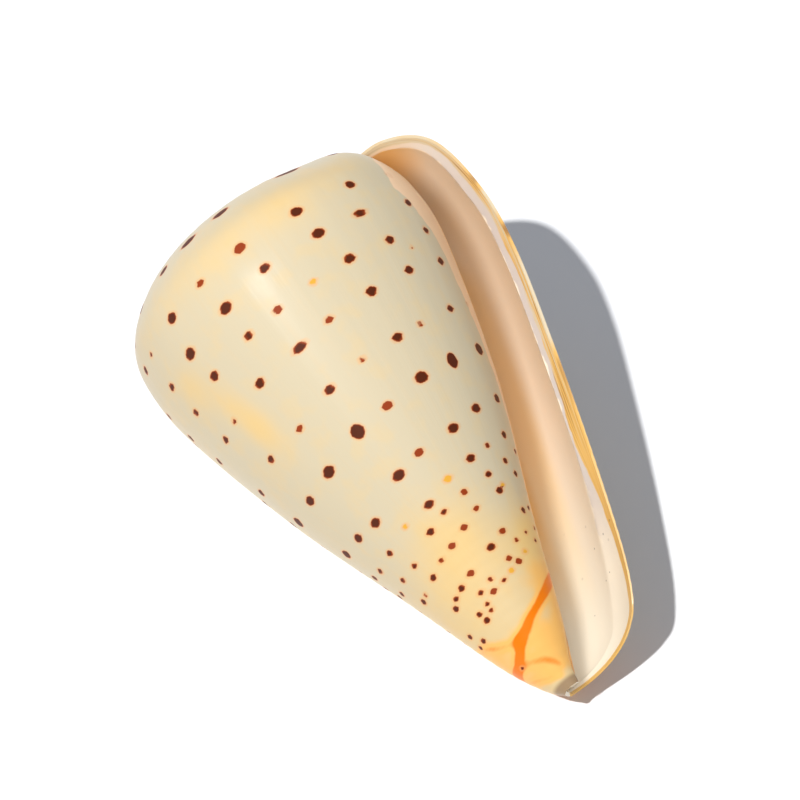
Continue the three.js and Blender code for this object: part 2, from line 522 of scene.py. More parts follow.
@dataclass(frozen=True)
class InnerTurns:
    """The earlier turns, each half of one filled in to the axis, with the pillar and the first cap.

    Attributes:
        winding: The wound surface.
        spire_turns: Turns of the spire before the last whorl.
        hollow_depth: Degrees that the hollow runs inwards from the lip.
        filler_inset: How far inside the surface the part behind the hollow lies.
        overlap: Degrees that it reaches past the last whorl's start.
        slice_angle: Degrees between two columns.
        row_step: Distance between two rows near the shoulder.
        end_row_step: The same at the narrow end.
        filler_coarse: How many times wider the steps are behind the hollow, out of sight.
        spire_coarse: The same on the spire's small turns.
        large_halves: Half turns that are large enough to have the last whorl's steps.
        seam_share: Share from which an earlier turn's surface lies inside the shell.
        pillar_foot: Radius of the pillar where it leaves the inner turns.
        pillar_tip: Radius of the pillar at the narrow end.
        pillar_span: Where it starts and ends along the axis.
        spin_steps: Steps around what is spun.
    """

    winding: Winding
    spire_turns: int = 8
    hollow_depth: float = 240.0
    filler_inset: float = 1.2
    overlap: float = 9.0
    slice_angle: float = 3.0
    row_step: float = 0.72
    end_row_step: float = 0.5
    filler_coarse: float = 3.0
    spire_coarse: float = 2.0
    large_halves: int = 2
    seam_share: float = 0.24
    pillar_foot: float = 5.6
    pillar_tip: float = 1.0
    pillar_span: Span = (66.0, 98.5)
    spin_steps: int = 32

    def filled(self, start: float, end: float, inset: float, coarse: float, name: str) -> bpy.types.Object:
        """Winds part of the surface and fills it in to the axis.

        Args:
            start: Growth at one end.
            end: Growth at the other, less than half a turn later.
            inset: How far inside the surface it lies.
            coarse: How many times wider its steps are than the finest.
            name: The object's name.

        Returns:
            The closed object.
        """
        columns = round((end - start) / self.slice_angle / coarse)
        turns = np.linspace(start, end, columns + 1)
        inner = self.winding.even_shares(self.row_step * coarse, self.end_row_step * coarse)
        shares = np.concatenate([[AXIS_BEFORE], inner, [AXIS_AFTER]])
        mesh, turn, share = grown_sheet(turns, shares)
        places = self.winding.place(turn, np.clip(share, 0.0, 1.0), inset)
        middle = 0.5 * (start + end)
        for code, at in ((AXIS_BEFORE, 0.0), (AXIS_AFTER, 1.0)):
            on_axis = self.winding.section(np.array(middle), np.array(at), np.array(inset))[0]
            places[share == code] = (0.0, 0.0, on_axis)
        move_vertices(mesh.verts[:], places)
        write_growth(mesh, dict(enumerate(turn)), dict(enumerate(np.clip(share, 0.0, 1.0))))
        layer = mesh.loops.layers.uv["growth"]
        for face in mesh.faces:
            within = min(loop[layer].uv[1] for loop in face.loops) > self.seam_share
            face.material_index = Side.LINING.value if within else Side.SKIN.value
        bmesh.ops.remove_doubles(mesh, verts=mesh.verts[:], dist=SAME_PLACE)
        for side in self.open_sections(mesh):
            cap = mesh.faces.new(side)
            cap.material_index = Side.LINING.value
            bmesh.ops.triangulate(mesh, faces=[cap])
        return finish_mesh(mesh, name)

    def open_sections(self, mesh: bmesh.types.BMesh) -> list[list[bmesh.types.BMVert]]:
        """Finds the two open ends of a wound part, each from axis to axis.

        Args:
            mesh: The wound part.

        Returns:
            The vertices of each end in order.
        """
        axis = [vertex for vertex in mesh.verts if vertex.co.xy.length < SAME_PLACE]
        first, last = sorted(axis, key=lambda vertex: vertex.co.z)
        ends = []
        for edge in [edge for edge in first.link_edges if edge.is_boundary]:
            path = [first, edge.other_vert(first)]
            while path[-1] is not last:
                onward = [item for item in path[-1].link_edges if item.is_boundary and item is not edge]
                edge = onward[0]
                path.append(edge.other_vert(path[-1]))
            ends.append(path)
        return ends

    def pillar(self) -> bpy.types.Object:
        """Spins the pillar around which the shell winds.

        Returns:
            The closed object.
        """
        start, end = self.pillar_span
        tip = self.pillar_tip
        round_tip = ((tip, end - tip), (0.7 * tip, end - 0.3 * tip), (0.0, end))
        return self.spun(((0.0, start), (self.pillar_foot, start), *round_tip), "pillar")

    def first_cap(self) -> bpy.types.Object:
        """Spins the small cap at the spire's point.

        Returns:
            The closed object.
        """
        size = self.winding.turn_growth**-self.spire_turns
        along, radius = (value * size for value in self.winding.body.points[1])
        dome = ((0.0, 0.0), (0.4 * radius, 0.3 * along), (radius, along))
        return self.spun((*dome, (radius, 2 * along), (0.0, 2 * along)), "first_cap")

    def spun(self, profile: tuple[Span, ...], name: str) -> bpy.types.Object:
        """Spins a profile around the axis.

        Args:
            profile: Points as (radius, distance along the axis).
            name: The object's name.

        Returns:
            The closed object.
        """
        mesh = bmesh.new()
        corners = [mesh.verts.new((radius, 0.0, along)) for radius, along in profile]
        edges = [mesh.edges.new(pair) for pair in zip(corners, corners[1:])]
        bmesh.ops.spin(
            mesh,
            geom=corners + edges,
            cent=(0, 0, 0),
            axis=(0, 0, 1),
            angle=math.tau,
            steps=self.spin_steps,
            use_merge=True,
        )
        bmesh.ops.remove_doubles(mesh, verts=mesh.verts[:], dist=SAME_PLACE)
        mesh.loops.layers.uv.new("growth")
        for face in mesh.faces:
            face.material_index = Side.LINING.value
        return finish_mesh(mesh, name)

    def build(self) -> list[bpy.types.Object]:
        """Makes every inner part.

        Returns:
            The closed objects, which overlap each other.
        """
        last = self.winding.last_turn
        behind = (-last - self.overlap, -self.hollow_depth)
        parts = [self.filled(*behind, self.filler_inset, self.filler_coarse, "filler")]
        for half in range(2 * self.spire_turns):
            end = -last - 180.0 * half
            coarse = 1.0 if half < self.large_halves else self.spire_coarse
            parts.append(self.filled(end - 180.0, end, 0.0, coarse, f"half_turn_{half}"))
        parts += [self.pillar(), self.first_cap()]
        log.info("inner turns: %d parts", len(parts))
        return parts


def joined(main: bpy.types.Object, others: list[bpy.types.Object]) -> bpy.types.Mesh:
    """Unites overlapping closed objects into one skin, and removes them from the scene.

    Args:
        main: The object that the others are added to.
        others: The other objects.

    Returns:
        The united mesh.
    """
    for other in others:
        union = main.modifiers.new("unite", "BOOLEAN")
        union.operation = "UNION"
        union.solver = "MANIFOLD"
        union.object = other
    evaluated = main.evaluated_get(bpy.context.evaluated_depsgraph_get())
    united = bpy.data.meshes.new_from_object(evaluated)
    for spent in [main, *others]:
        bpy.data.objects.remove(spent)
    return united


@dataclass(frozen=True)
class Resting:
    """The way the shell lies: on its back, with the narrow end dipping and a small spot worn flat.

    Attributes:
        roll: Angle around the axis that points upwards.
        dip: Degrees that the narrow end dips below the level.
        flat: Depth worn off where it touches the ground.
        on_ground: How near the ground a corner counts as on it, in metres.
    """

    roll: float = 62.0
    dip: float = 14.8
    flat: float = 0.4
    on_ground: float = 1e-7

    def turn(self) -> Matrix:
        """Gives the turn from the shell's own axes to the frame's."""
        rolled = Matrix.Rotation(math.radians(180 - self.roll), 3, "Z")
        return Matrix.Rotation(math.radians(90 + self.dip), 3, "Y") @ rolled

    def lay(self, mesh: bmesh.types.BMesh) -> None:
        """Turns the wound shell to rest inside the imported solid's box, in metres.

        Args:
            mesh: The shell with its axis along z, in millimetres, changed in place.
        """
        low, high = CAD_BOX
        bmesh.ops.rotate(mesh, verts=mesh.verts[:], cent=(0, 0, 0), matrix=self.turn())
        places = np.array([vertex.co for vertex in mesh.verts])
        size = places.max(axis=0) - places.min(axis=0)
        size[2] -= self.flat
        fit = min(MM, *(np.array(high - low) / size))
        bmesh.ops.scale(mesh, verts=mesh.verts[:], vec=(fit, fit, fit))
        middle = 0.5 * fit * (places.max(axis=0) + places.min(axis=0))
        bottom = fit * places[:, 2].min() + self.flat * MM
        centre = 0.5 * (low + high)
        shift = Vector((centre.x - middle[0], centre.y - middle[1], low.z - bottom))
        bmesh.ops.translate(mesh, verts=mesh.verts[:], vec=shift)
        cut = bmesh.ops.bisect_plane(
            mesh,
            geom=mesh.verts[:] + mesh.edges[:] + mesh.faces[:],
            dist=self.on_ground,
            plane_co=(0, 0, low.z),
            plane_no=(0, 0, -1),
            clear_outer=True,
        )
        rim = [item for item in cut["geom_cut"] if isinstance(item, bmesh.types.BMEdge)]
        bmesh.ops.contextual_create(mesh, geom=rim)
        log.info("laid at rest, scaled by %.5f", fit / MM)


@dataclass(frozen=True)
class Patch:
    """A soft-edged patch of colour on the skin.

    Attributes:
        turn: Degrees before the lip at its middle.
        share: Share of the outline at its middle.
        turn_reach: How far it reaches around the shell, in degrees.
        share_reach: How far it reaches along the outline, as a share.
        strength: How strong it is at its middle.
    """

    turn: float
    share: float
    turn_reach: float
    share_reach: float
    strength: float

    def at(self, turn: np.ndarray, share: np.ndarray) -> np.ndarray:
        """Gives the patch's strength at each place."""
        away = ((turn + self.turn) / self.turn_reach) ** 2 + ((share - self.share) / self.share_reach) ** 2
        return self.strength * np.exp(-away)


@dataclass(frozen=True)
class Stripe:
    """A soft-edged stripe of colour on the skin.

    Attributes:
        points: The places it passes, as (degrees before the lip, share of the outline).
        width: Half its width, in mm.
        strength: How strong it is along its middle.
    """

    points: tuple[tuple[float, float], ...]
    width: float
    strength: float

    def at(self, turn: np.ndarray, share: np.ndarray, winding: Winding) -> np.ndarray:
        """Gives the stripe's strength at each place.

        Args:
            turn: The growth of each place.
            share: The share of each place.
            winding: The wound surface.

        Returns:
            The strength of each place.
        """
        radius = winding.section(turn, share, np.zeros(len(turn)))[:, 1]
        nearest = np.full(len(turn), math.inf)
        for (turn_a, share_a), (turn_b, share_b) in zip(self.points, self.points[1:]):
            height = winding.body.lengths(np.array([share_a, share_b]))
            place = np.stack([np.radians(turn + turn_a) * radius, winding.body.lengths(share) - height[0]])
            run = np.stack([np.radians(turn_a - turn_b) * radius, np.full(len(turn), height[1] - height[0])])
            part = np.clip((place * run).sum(axis=0) / ((run * run).sum(axis=0) + 1e-9), 0.0, 1.0)
            nearest = np.minimum(nearest, np.hypot(*(place - part * run)))
        return self.strength * np.exp(-((nearest / self.width) ** 2))


@dataclass(frozen=True)
class Tints:
    """Where the ground turns yellow, where the narrow end turns orange, and how far the glaze reaches.

    Attributes:
        warm: Yellow clouds on the ground.
        washes: Amber washes at the narrow end.
        stripes: Orange stripes there.
        end_warmth: Yellow that the whole narrow end has.
        end_span: Shares of the outline over which that starts.
        glaze_shares: Shares at which the glaze's edge is given.
        glaze_turns: Degrees before the lip of its edge at those shares.
        glaze_start: Degrees before the lip where the glazed turn starts.
        unglazed: Degrees outside the glaze that stand for the turns before that.
    """

    warm: tuple[Patch, ...] = (
        Patch(265, 0.35, 55, 0.08, 0.5),
        Patch(325, 0.30, 25, 0.07, 0.3),
        Patch(228, 0.55, 8, 0.03, 0.75),
        Patch(219, 0.50, 8, 0.03, 0.5),
        Patch(262, 0.69, 40, 0.04, 0.55),
        Patch(340, 0.725, 30, 0.03, 0.9),
        Patch(120, 0.45, 60, 0.10, 0.5),
        Patch(60, 0.60, 40, 0.08, 0.4),
    )
    washes: tuple[Patch, ...] = (
        Patch(320, 0.76, 45, 0.02, 0.35),
        Patch(350, 0.80, 25, 0.06, 0.6),
        Patch(345, 0.88, 40, 0.04, 0.5),
        Patch(285, 0.825, 55, 0.035, 0.62),
        Patch(235, 0.88, 70, 0.04, 0.6),
        Patch(190, 0.80, 35, 0.03, 0.4),
        Patch(120, 0.83, 60, 0.05, 0.6),
        Patch(45, 0.86, 60, 0.05, 0.5),
    )
    stripes: tuple[Stripe, ...] = (
        Stripe(
            (
                (358, 0.758), (324, 0.7735), (301, 0.7836), (280, 0.7923), (266, 0.7995), (248, 0.8068),
                (229, 0.8213), (205, 0.8328), (170, 0.8401), (90, 0.85), (5, 0.86),
            ),
            0.85,
            1.3,
        ),
        Stripe(
            ((248, 0.8068), (230, 0.8024), (214, 0.7937), (197, 0.7822), (150, 0.77), (70, 0.765)),
            0.9,
            0.62,
        ),
        Stripe(((170, 0.83), (226, 0.8444), (254, 0.8603), (281, 0.8908)), 0.8, 0.45),
        Stripe(((120, 0.84), (178, 0.8705), (217, 0.9023), (253, 0.9212)), 0.8, 0.45),
    )
    end_warmth: float = 0.55
    end_span: Span = (0.64, 0.76)
    glaze_shares: tuple[float, ...] = (0.17, 0.22, 0.31, 0.42, 0.48, 0.51, 0.56, 0.64, 1.0)
    glaze_turns: tuple[float, ...] = (375.0, 351.0, 338.0, 334.5, 339.5, 346.0, 351.0, 359.0, 362.0)
    glaze_start: float = 366.0
    unglazed: float = -9.0

    def glaze(self, turn: np.ndarray, share: np.ndarray) -> np.ndarray:
        """Gives how far inside the glaze's edge each place lies, in degrees of growth."""
        inside = -turn - np.interp(share, self.glaze_shares, self.glaze_turns)
        return np.where(turn < -self.glaze_start, self.unglazed, inside)

    def measure(self, turn: np.ndarray, share: np.ndarray, winding: Winding) -> dict[str, np.ndarray]:
        """Adds the patches and stripes up.

        Args:
            turn: The growth of each place.
            share: The share of each place.
            winding: The wound surface.

        Returns:
            The warmth, the orange and the glaze of each place, by name.
        """
        warm = sum(patch.at(turn, share) for patch in self.warm)
        band = sum(patch.at(turn, share) for patch in self.washes)
        band += sum(stripe.at(turn, share, winding) for stripe in self.stripes)
        return {
            "warmth": warm + self.end_warmth * smoothstep(share, *self.end_span),
            "band": band,
            "glaze": self.glaze(turn, share),
        }


@dataclass(frozen=True)
class SpotGroup:
    """Spots of one tone.

    Attributes:
        tone: How dark they are.
        spots: Each as (degrees before the lip, share of the outline, width in mm).
    """

    tone: Tone
    spots: tuple[tuple[float, float, float], ...]


@dataclass(frozen=True)
class SpotPattern:
    """The spots, in rows that follow the winding: those in sight one by one, the rest by rule.

    Attributes:
        groups: The round spots in sight, by tone.
        blotches: The longer dark ones, as (degrees before the lip, share, width, length).
        hidden_from: Degrees before the lip where the rows of the hidden side start.
        hidden_to: Degrees before the lip where every row by rule ends.
        hidden_rows: Shares of the outline that the hidden side's rows follow.
        hidden_gap: Distance between two of its spots.
        fine_from: Share past which the spots are finer.
        fine_size: How large those are beside the others.
        spire_rows: Shares that the spire's rows follow.
        spire_from: Degrees before the lip where they start.
        spire_gap: Distance between two of their spots on the last turn.
        first_gap: Degrees to a row's first spot.
        widths: Widths of the spots by rule.
        lengthening: How long they are beside their width.
        stray: Share by which they stray from their row.
        gap_spread: How much their distance varies.
        rust_share: Share of them that are rust.
        smallest: Width that is added to a small spot's own share.
        small_share: Share of its own width that it keeps.
        flatness: Height of a spot beside its width.
        powers: Powers that shape its ends and its sides.
        rounding: Power that shapes its slope.
        slope: Depth at a spot's middle beside its width.
        far: Depth that stands for a place with no spot near it.
        seed: Seed of the spots by rule.
    """

    groups: tuple[SpotGroup, ...] = (
        SpotGroup(
            Tone.BROWN,
            (
                (315, 0.393, 2.1), (291, 0.402, 2.3), (233, 0.402, 2.3), (213, 0.40, 0.8), (202, 0.395, 1.8),
                (338, 0.38, 1.9), (337, 0.46, 2.0), (293, 0.465, 2.4), (271, 0.465, 2.1), (252, 0.472, 2.5),
                (230, 0.475, 2.6), (211, 0.472, 1.8), (188, 0.465, 1.8), (340, 0.50, 1.9), (317, 0.505, 2.1),
                (298, 0.507, 2.3), (252, 0.51, 1.9), (231, 0.51, 2.2), (210, 0.51, 1.8), (187, 0.503, 2.2),
                (326, 0.515, 0.5), (341, 0.527, 2.2), (319, 0.531, 2.2), (299, 0.535, 2.3), (243, 0.539, 2.2),
                (222, 0.54, 1.4), (210, 0.54, 1.9), (189, 0.535, 2.2), (352, 0.555, 1.6), (333, 0.56, 1.9),
                (299, 0.567, 2.2), (263, 0.571, 2.1), (220, 0.573, 1.9), (193, 0.573, 2.1), (345, 0.586, 2.9),
                (300, 0.595, 2.7), (237, 0.608, 2.7), (216, 0.609, 2.3), (192, 0.605, 2.8), (347, 0.62, 2.2),
                (323, 0.626, 2.2), (303, 0.633, 2.2), (263, 0.64, 2.4), (233, 0.652, 2.2), (216, 0.649, 2.1),
                (194, 0.645, 2.4), (321, 0.651, 1.2), (305, 0.655, 1.9), (342, 0.645, 1.8), (266, 0.667, 1.9),
                (334, 0.663, 1.4), (313, 0.669, 1.5), (343, 0.672, 1.4), (355, 0.655, 1.3), (317, 0.682, 1.6),
                (271, 0.677, 1.2), (255, 0.682, 1.6), (222, 0.672, 1.5), (201, 0.672, 1.5), (186, 0.668, 1.7),
                (227, 0.691, 1.3), (208, 0.69, 1.3), (190, 0.692, 1.5), (338, 0.70, 1.5), (352, 0.697, 1.1),
                (286, 0.718, 1.7), (246, 0.703, 0.9), (230, 0.708, 1.5), (201, 0.712, 1.5), (210, 0.711, 0.8),
                (241, 0.73, 1.5), (229, 0.733, 1.1), (220, 0.738, 1.5), (252, 0.744, 1.1), (268, 0.74, 0.8),
                (279, 0.747, 0.7), (249, 0.755, 0.7), (234, 0.757, 1.1), (313, 0.722, 0.8), (352, 0.714, 0.7),
                (330, 0.718, 0.5), (343, 0.725, 0.6), (247, 0.762, 0.6), (235, 0.766, 1.4), (208, 0.776, 1.2),
                (193, 0.776, 1.0), (207, 0.839, 0.5), (199, 0.762, 1.3),
            ),
        ),
        SpotGroup(
            Tone.RUST,
            (
                (268, 0.40, 2.2), (250, 0.40, 1.6), (266, 0.51, 1.9), (279, 0.537, 1.8), (312, 0.565, 1.4),
                (281, 0.568, 1.3), (242, 0.576, 1.6), (279, 0.60, 2.0), (279, 0.636, 1.8), (290, 0.673, 1.3),
                (276, 0.694, 1.4), (260, 0.70, 1.5), (257, 0.726, 1.4), (263, 0.75, 1.3), (296, 0.733, 1.1),
                (305, 0.739, 1.4), (303, 0.711, 1.4), (292, 0.687, 1.1),
            ),
        ),
        SpotGroup(
            Tone.AMBER,
            (
                (282, 0.509, 1.5), (245, 0.668, 0.8), (285, 0.66, 1.5), (322, 0.679, 0.8), (292, 0.743, 0.8),
                (318, 0.733, 0.8),
            ),
        ),
    )
    blotches: tuple[tuple[float, float, float, float], ...] = (
        (264, 0.54, 2.1, 3.0), (311, 0.463, 1.8, 2.8), (320, 0.592, 3.7, 2.3), (261, 0.602, 3.6, 2.4),
        (304.5, 0.222, 2.8, 4.8), (330, 0.235, 2.0, 2.6), (268.6, 0.238, 2.8, 3.2), (251, 0.245, 2.8, 3.6),
        (235, 0.255, 2.4, 2.4), (213, 0.265, 2.2, 2.2), (201, 0.315, 1.6, 1.4),
    )
    hidden_from: float = 182.0
    hidden_to: float = 3.0
    hidden_rows: tuple[float, ...] = (
        0.25, 0.33, 0.40, 0.466, 0.508, 0.537, 0.57, 0.602, 0.628, 0.65, 0.672, 0.692, 0.712, 0.733, 0.752,
    )
    hidden_gap: float = 9.5
    fine_from: float = 0.64
    fine_size: float = 0.65
    spire_rows: tuple[float, ...] = (0.07, 0.155)
    spire_from: float = 1500.0
    spire_gap: float = 7.5
    first_gap: Span = (2.0, 14.0)
    widths: Span = (1.6, 2.6)
    lengthening: Span = (0.9, 1.3)
    stray: float = 0.006
    gap_spread: Span = (0.75, 1.3)
    rust_share: float = 0.2
    smallest: float = 0.6
    small_share: float = 0.6
    flatness: float = 0.74
    powers: Span = (1.65, 1.9)
    rounding: float = 0.57
    slope: float = 0.4
    far: float = -3.0
    seed: int = 7

    def all_spots(self, winding: Winding) -> list[tuple[float, float, float, float, float]]:
        """Lists every spot.

        Args:
            winding: The wound surface, which sets how many spots fit in a row.

        Returns:
            The growth, share, width, length and tone of each spot.
        """
        listed = [
            (-turn, share, width, width, group.tone.value)
            for group in self.groups
            for turn, share, width in group.spots
        ]
        listed += [
            (-turn, share, width, length, Tone.BROWN.value) for turn, share, width, length in self.blotches
        ]
        rows = [(row, -self.hidden_from, self.hidden_gap) for row in self.hidden_rows]
        rows += [(row, -self.spire_from, self.spire_gap) for row in self.spire_rows]
        chance = np.random.default_rng(self.seed)
        for row, start, gap in rows:
            fine = self.fine_size if row > self.fine_from else 1.0
            turn = start + chance.uniform(*self.first_gap)
            while turn < -self.hidden_to:
                radius = winding.section(np.array(turn), np.array(row), np.array(0.0))[1]
                size = float(winding.size(np.array(turn)))
                width = chance.uniform(*self.widths) * fine * size
                share = row + chance.uniform(-self.stray, self.stray)
                tone = Tone.RUST if chance.uniform() < self.rust_share else Tone.BROWN
                listed.append((turn, share, width, width * chance.uniform(*self.lengthening), tone.value))
                turn += math.degrees(gap * fine * size * chance.uniform(*self.gap_spread) / radius)
        return listed

    def measure(
        self, winding: Winding, turn: np.ndarray, share: np.ndarray
    ) -> tuple[np.ndarray, np.ndarray]:
        """Works out how deep inside a spot each place of the surface lies.

        Args:
            winding: The wound surface.
            turn: The growth of each place.
            share: The share of each place.

        Returns:
            The depth inside the nearest spot in mm, negative outside, and that spot's tone.
        """
        depth = np.full(len(turn), self.far)
        tone = np.zeros(len(turn))
        radius = winding.section(turn, share, np.zeros(len(turn)))[:, 1]
        height = winding.body.lengths(share) * winding.size(turn)
        for spot_turn, spot_share, width, length, spot_tone in self.all_spots(winding):
            width, length = (max(size, self.small_share * size + self.smallest) for size in (width, length))
            across = np.abs(np.radians(turn - spot_turn) * radius / (0.5 * length))
            own_height = winding.body.lengths(np.array([spot_share]))[0] * winding.size(np.array(spot_turn))
            up = np.abs(height - own_height) / (0.5 * self.flatness * width)
            away = across ** self.powers[0] + up ** self.powers[1]
            inside = (1.0 - away**self.rounding) * self.slope * width
            nearer = inside > depth
            depth[nearer] = inside[nearer]
            tone[nearer] = spot_tone
        return depth, tone


@dataclass
class Shading:
    """Adds the nodes of one material or group and joins them.

    Attributes:
        tree: The node tree being built.
        row: How many nodes stand in a row.
        width: Distance from one node to the next.
        height: Distance from one row to the next.
    """

    tree: bpy.types.NodeTree
    row: int = 12
    width: float = 180.0
    height: float = 240.0

    def add(self, kind: str, **values: object) -> bpy.types.Node:
        """Adds a node, to the right of the last one, and sets its properties."""
        made = self.tree.nodes.new(kind)
        down, along = divmod(len(self.tree.nodes), self.row)
        made.location = (self.width * along, -self.height * down)
        for name, value in values.items():
            setattr(made, name, value)
        return made

    def put(self, socket: bpy.types.NodeSocket, value: object) -> None:
        """Joins a socket to another, or sets it to a number or a colour.

        Args:
            socket: The input.
            value: An output socket, a number, or a colour of three numbers.
        """
        if isinstance(value, bpy.types.NodeSocket):
            self.tree.links.new(value, socket)
        elif isinstance(value, tuple) and len(value) == 3 and socket.type == "RGBA":
            socket.default_value = (*value, 1.0)
        else:
            socket.default_value = value

    def number(self, operation: str, first: object, second: object) -> bpy.types.NodeSocket:
        """Works out a number from two.

        Args:
            operation: The kind of sum.
            first: A socket or a number.
            second: A socket or a number.

        Returns:
            The result's socket.
        """
        made = self.add("ShaderNodeMath", operation=operation)
        self.put(made.inputs[0], first)
        self.put(made.inputs[1], second)
        return made.outputs[0]

    def spread(self, noise: object, width: float) -> bpy.types.NodeSocket:
        """Turns noise around a half into noise around 0.

        Args:
            noise: The noise's socket.
            width: How wide its range from 0 to 1 becomes.

        Returns:
            The result's socket.
        """
        made = self.add("ShaderNodeMath", operation="MULTIPLY_ADD")
        for socket, value in zip(made.inputs, (noise, width, -0.5 * width)):
            self.put(socket, value)
        return made.outputs[0]

    def ease(
        self, value: object, low: float, high: float, start: float = 0.0, end: float = 1.0
    ) -> bpy.types.NodeSocket:
        """Maps a range smoothly onto another.

        Args:
            value: A socket.
            low: Where the change starts.
            high: Where it ends.
            start: The result below the range.
            end: The result above it.

        Returns:
            The result's socket.
        """
        made = self.add("ShaderNodeMapRange", interpolation_type="SMOOTHSTEP")
        for name, number in (("From Min", low), ("From Max", high), ("To Min", start), ("To Max", end)):
            made.inputs[name].default_value = number
        self.put(made.inputs["Value"], value)
        return made.outputs["Result"]

    def blend(self, share: object, first: object, second: object) -> bpy.types.NodeSocket:
        """Mixes two colours.

        Args:
            share: How much of the second, a socket or a number.
            first: A socket or a colour.
            second: A socket or a colour.

        Returns:
            The mixed colour's socket.
        """
        made = self.add("ShaderNodeMix", data_type="RGBA")
        self.put(made.inputs[0], share)
        self.put(made.inputs[6], first)
        self.put(made.inputs[7], second)
        return made.outputs[2]

    def noise(self, vector: object, scale: float, detail: float = 2.0) -> bpy.types.NodeSocket:
        """Adds smooth noise.

        Args:
            vector: Where it is read.
            scale: How many lumps there are in a unit.
            detail: How many finer layers it has.

        Returns:
            The noise's socket, about 0.5 on average.
        """
        made = self.add("ShaderNodeTexNoise")
        made.inputs["Scale"].default_value = scale
        made.inputs["Detail"].default_value = detail
        self.put(made.inputs["Vector"], vector)
        return made.outputs["Fac"]

    def stretched(self, vector: object, scale: tuple[float, float, float]) -> bpy.types.NodeSocket:
        """Scales a vector by three numbers."""
        made = self.add("ShaderNodeVectorMath", operation="MULTIPLY")
        self.put(made.inputs[0], vector)
        made.inputs[1].default_value = scale
        return made.outputs["Vector"]

    def attribute(self, name: str) -> bpy.types.NodeSocket:
        """Reads one of the piece's own attributes."""
        return self.add("ShaderNodeAttribute", attribute_name=name).outputs["Fac"]


@dataclass(frozen=True)
class GrowthMarks:
    """The marks that growing leaves all over the shell, shared by the skin and the lining.

    Attributes:
        lines: Growth lines in a whole turn.
        drift: How often they change along the outline.
        ring_lines: How many times finer the rings are around the shell.
        ring_drift: How many times finer they are along the outline.
        clouds: Cloud lumps in a metre.
        mottle: Mottle lumps in a metre.
        grain: Grain lumps in a metre.
    """

    lines: float = 150.0
    drift: float = 5.0
    ring_lines: float = 6.0
    ring_drift: float = 2.0
    clouds: float = 60.0
    mottle: float = 260.0
    grain: float = 1100.0

    def group(self) -> bpy.types.NodeTree:
        """Builds the shader group, or finds it where it is already built.

        Returns:
            The group, which turns growth and place into degrees, share, lines, rings and three noises.
        """
        found = bpy.data.node_groups.get("growth_marks")
        if found:
            return found
        made = bpy.data.node_groups.new("growth_marks", "ShaderNodeTree")
        for name in ("Growth", "Place"):
            made.interface.new_socket(name, in_out="INPUT", socket_type="NodeSocketVector")
        for name in ("Degrees", "Share", "Lines", "Rings", "Clouds", "Mottle", "Grain"):
            made.interface.new_socket(name, in_out="OUTPUT", socket_type="NodeSocketFloat")
        build = Shading(made)
        given = build.add("NodeGroupInput")
        result = build.add("NodeGroupOutput")
        parts = build.add("ShaderNodeSeparateXYZ")
        build.put(parts.inputs[0], given.outputs["Growth"])
        build.put(result.inputs["Degrees"], build.number("MULTIPLY", parts.outputs["X"], 360.0))
        build.put(result.inputs["Share"], parts.outputs["Y"])
        lined = build.stretched(given.outputs["Growth"], (self.lines, self.drift, 0.0))
        build.put(result.inputs["Lines"], build.noise(lined, 1.0, 3.0))
        finer = (self.ring_lines * self.lines, self.ring_drift * self.drift, 0.0)
        build.put(result.inputs["Rings"], build.noise(build.stretched(given.outputs["Growth"], finer), 1.0))
        for name, scale in (("Clouds", self.clouds), ("Mottle", self.mottle), ("Grain", self.grain)):
            build.put(result.inputs[name], build.noise(given.outputs["Place"], scale))
        return made

    def use(self, build: Shading) -> dict[str, bpy.types.NodeSocket]:
        """Places the group in a material.

        Args:
            build: The material's nodes.

        Returns:
            The group's outputs by name, and the place in the shell as "Place".
        """
        placed = build.add("ShaderNodeGroup", node_tree=self.group())
        growth = build.add("ShaderNodeUVMap", uv_map="growth")
        place = build.add("ShaderNodeTexCoord")
        build.put(placed.inputs["Growth"], growth.outputs["UV"])
        build.put(placed.inputs["Place"], place.outputs["Object"])
        return {**{socket.name: socket for socket in placed.outputs}, "Place": place.outputs["Object"]}


